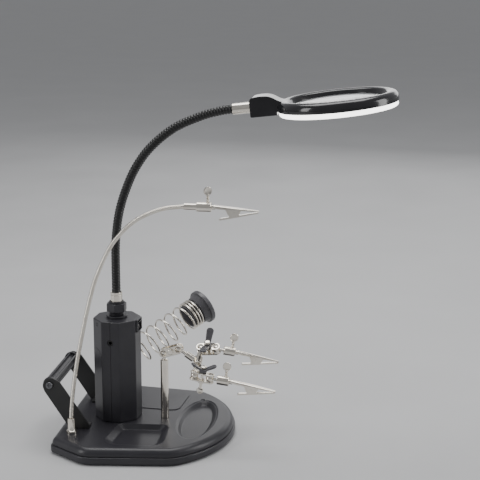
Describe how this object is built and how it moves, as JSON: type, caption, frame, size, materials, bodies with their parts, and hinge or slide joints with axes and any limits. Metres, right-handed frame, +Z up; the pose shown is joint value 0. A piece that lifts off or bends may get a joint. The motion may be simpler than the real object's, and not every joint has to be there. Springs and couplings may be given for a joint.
{
  "type": "magnifying lamp",
  "caption": "Ring-lit magnifier on a bendable neck over a weighted base with parts trays, spring clips on jointed arms, a coil holder for a soldering iron and a spool roller.",
  "frame": {"origin": "on the table, under the centre line of the column, at the rest pad below the base", "axes": "+Z up, +X along the base from the column to its round end, +Y away from the clip arm's side"},
  "size_m": [0.3399, 0.2075, 0.3508],
  "materials": {
    "black_plastic": "satin black moulding",
    "black_gloss": "gloss black moulding",
    "neck_black": "black ribbed sleeve",
    "grey_plastic": "dark grey moulding",
    "black_steel": "black painted sheet steel",
    "nickel": "bright nickel plate",
    "steel": "plain steel",
    "rubber": "matt",
    "lens_glass": "clear",
    "diffuser_white": "translucent white",
    "board_white": "white circuit board",
    "battery_wrap": "sleeved cells",
    "jack_black": "black"
  },
  "bodies": {
    "base": {"base_top": "black_plastic", "base_pan": "black_plastic", "weight_plate": "steel", "foot_1": "rubber", "foot_2": "rubber", "foot_3": "rubber", "foot_4": "rubber", "column_left": "black_plastic", "column_right": "black_plastic", "battery_pack": "battery_wrap", "dc_jack": "jack_black", "gland_body": "black_plastic", "clip_ferrule": "nickel", "post": "nickel", "iron_bracket": "black_steel", "spool_arm_near": "black_steel", "spool_arm_far": "black_steel", "spool_spindle": "steel"},
    "gland_nut": {"gland_nut": "black_plastic"},
    "battery_cover": {"battery_cover": "black_plastic"},
    "power_switch": {"power_switch": "black_gloss"},
    "lamp_lower": {"lower_ferrule": "nickel", "lamp_neck_1": "neck_black"},
    "lamp_middle": {"lamp_neck_2": "neck_black"},
    "lamp_head": {"lamp_neck_3": "neck_black", "upper_ferrule": "nickel", "head_shell": "black_gloss", "led_board": "board_white", "diffuser_ring": "diffuser_white", "lens": "lens_glass"},
    "clip_arm_lower": {"clip_neck_1": "nickel"},
    "clip_arm_middle": {"clip_neck_2": "nickel"},
    "clip_arm_upper": {"clip_neck_3": "nickel", "socket_a": "nickel"},
    "clip_a": {"clip_body_a": "nickel"},
    "jaw_a": {"clip_jaw_a": "nickel"},
    "thumb_a": {"thumb_screw_a": "nickel"},
    "post_clamp": {"clamp_post_back": "nickel", "clamp_post_front": "nickel", "clamp_post_bolt": "nickel"},
    "cross_bar": {"t_bar": "nickel"},
    "iron_holder": {"iron_spring": "nickel", "iron_bush": "grey_plastic"},
    "spool_roller": {"spool_roller": "black_plastic"},
    "clamp_b": {"clamp_b_back": "nickel", "clamp_b_front": "nickel", "clamp_b_bolt": "nickel"},
    "wing_nut_b": {"wing_nut_b": "grey_plastic"},
    "hand_b": {"socket_b": "nickel"},
    "clip_b": {"clip_body_b": "nickel"},
    "jaw_b": {"clip_jaw_b": "nickel"},
    "thumb_b": {"thumb_screw_b": "nickel"},
    "clamp_c": {"clamp_c_back": "nickel", "clamp_c_front": "nickel", "clamp_c_bolt": "nickel"},
    "wing_nut_c": {"wing_nut_c": "grey_plastic"},
    "hand_c": {"socket_c": "nickel"},
    "clip_c": {"clip_body_c": "nickel"},
    "jaw_c": {"clip_jaw_c": "nickel"},
    "thumb_c": {"thumb_screw_c": "nickel"}
  },
  "joints": [
    {"name": "lamp_swivel", "type": "hinge", "parent": "base", "child": "lamp_lower", "pos_m": [0, 0, 0.134], "axis": [0, 0, 1], "range_deg": [-90, 90]},
    {"name": "lamp_elbow", "type": "hinge", "parent": "lamp_lower", "child": "lamp_middle", "pos_m": [0.0022, 0, 0.212], "axis": [0, 1, 0], "range_deg": [-20, 25]},
    {"name": "lamp_wrist", "type": "hinge", "parent": "lamp_middle", "child": "lamp_head", "pos_m": [0.06, 0, 0.3103], "axis": [0, 1, 0], "range_deg": [-40, 40]},
    {"name": "gland_nut_turn", "type": "hinge", "parent": "base", "child": "gland_nut", "pos_m": [0, 0, 0.1304], "axis": [0, 0, 1], "range_deg": [-60, 60]},
    {"name": "clip_arm_swivel", "type": "hinge", "parent": "base", "child": "clip_arm_lower", "pos_m": [-0.035, -0.053, 0.017], "axis": [0, 0, 1], "range_deg": [-60, 25]},
    {"name": "clip_arm_lean", "type": "hinge", "parent": "clip_arm_lower", "child": "clip_arm_middle", "pos_m": [-0.027, -0.053, 0.092], "axis": [0, 1, 0], "range_deg": [-15, 15]},
    {"name": "clip_arm_bend", "type": "hinge", "parent": "clip_arm_middle", "child": "clip_arm_upper", "pos_m": [0.045, -0.053, 0.2376], "axis": [0, 1, 0], "range_deg": [-30, 30]},
    {"name": "clip_a_roll", "type": "hinge", "parent": "clip_arm_upper", "child": "clip_a", "pos_m": [0.091, -0.053, 0.2456], "axis": [1, 0, 0], "range_deg": [-90, 90]},
    {"name": "jaw_a_open", "type": "hinge", "parent": "clip_a", "child": "jaw_a", "pos_m": [0.1255, -0.053, 0.2407], "axis": [0, 1, 0], "range_deg": [0, 28], "stiffness_Nm_per_rad": 0.02, "springref_deg": -20.05},
    {"name": "thumb_a_turn", "type": "hinge", "parent": "clip_arm_upper", "child": "thumb_a", "pos_m": [0.1014, -0.053, 0.2456], "axis": [0, 0, 1], "range_deg": [-90, 90]},
    {"name": "post_clamp_turn", "type": "hinge", "parent": "base", "child": "post_clamp", "pos_m": [0.0475, 0, 0.0847], "axis": [0, 0, 1], "range_deg": [-40, 15]},
    {"name": "cross_bar_tilt", "type": "hinge", "parent": "post_clamp", "child": "cross_bar", "pos_m": [0.06232, 0, 0.08923], "axis": [0, 1, 0], "range_deg": [-20, 15]},
    {"name": "clamp_b_swing", "type": "hinge", "parent": "cross_bar", "child": "clamp_b", "pos_m": [0.081, 0.022, 0.0822], "axis": [-0.0509, -0.5298, 0.8466], "range_deg": [-15, 12]},
    {"name": "wing_nut_b_turn", "type": "hinge", "parent": "clamp_b", "child": "wing_nut_b", "pos_m": [0.0884, 0.01856, 0.08817], "axis": [-0.0509, -0.5298, 0.8466], "range_deg": [-15, 30]},
    {"name": "hand_b_swing", "type": "hinge", "parent": "clamp_b", "child": "hand_b", "pos_m": [0.09647, 0.022, 0.08313], "axis": [-0.0509, -0.5298, 0.8466], "range_deg": [-20, 10]},
    {"name": "clip_b_roll", "type": "hinge", "parent": "hand_b", "child": "clip_b", "pos_m": [0.10388, 0.02387, 0.08157], "axis": [0.95, 0.24, -0.2], "range_deg": [-90, 90]},
    {"name": "jaw_b_open", "type": "hinge", "parent": "clip_b", "child": "jaw_b", "pos_m": [0.1357, 0.03191, 0.06987], "axis": [-0.2449, 0.9695, 0], "range_deg": [0, 28], "stiffness_Nm_per_rad": 0.02, "springref_deg": -20.05},
    {"name": "thumb_b_turn", "type": "hinge", "parent": "hand_b", "child": "thumb_b", "pos_m": [0.11167, 0.02584, 0.07993], "axis": [0.1939, 0.049, 0.9798], "range_deg": [-90, 90]},
    {"name": "clamp_c_swing", "type": "hinge", "parent": "cross_bar", "child": "clamp_c", "pos_m": [0.082, -0.022, 0.07], "axis": [0.1603, 0, 0.9871], "range_deg": [-25, 25]},
    {"name": "wing_nut_c_turn", "type": "hinge", "parent": "clamp_c", "child": "wing_nut_c", "pos_m": [0.09068, -0.02246, 0.07518], "axis": [0.1603, 0, 0.9871], "range_deg": [-60, 60]},
    {"name": "hand_c_swing", "type": "hinge", "parent": "clamp_c", "child": "hand_c", "pos_m": [0.09727, -0.02293, 0.06752], "axis": [0.1603, 0, 0.9871], "range_deg": [-20, 20]},
    {"name": "clip_c_roll", "type": "hinge", "parent": "hand_c", "child": "clip_c", "pos_m": [0.10503, -0.02324, 0.06674], "axis": [0.9942, -0.0401, -0.1002], "range_deg": [-90, 90]},
    {"name": "jaw_c_open", "type": "hinge", "parent": "clip_c", "child": "jaw_c", "pos_m": [0.13883, -0.02461, 0.0584], "axis": [0.0403, 0.9992, 0], "range_deg": [0, 28], "stiffness_Nm_per_rad": 0.02, "springref_deg": -20.05},
    {"name": "thumb_c_turn", "type": "hinge", "parent": "hand_c", "child": "thumb_c", "pos_m": [0.11318, -0.02357, 0.06592], "axis": [0.1001, -0.004, 0.995], "range_deg": [-90, 90]},
    {"name": "iron_holder_tilt", "type": "hinge", "parent": "base", "child": "iron_holder", "pos_m": [0.0026, 0.031, 0.0666], "axis": [-0.6962, 0.7178, 0], "range_deg": [-15, 20]},
    {"name": "roller_spin", "type": "hinge", "parent": "base", "child": "spool_roller", "pos_m": [-0.059, 0, 0.06], "axis": [0, 1, 0], "continuous": true},
    {"name": "switch_rock", "type": "hinge", "parent": "base", "child": "power_switch", "pos_m": [0.01941, -0.00187, 0.1133], "axis": [0.0958, 0.9954, 0], "range_deg": [-9, 9]},
    {"name": "battery_cover_slide", "type": "slide", "parent": "base", "child": "battery_cover", "axis": [-0.9954, 0.0958, 0], "range_m": [0, 0.02]}
  ]
}
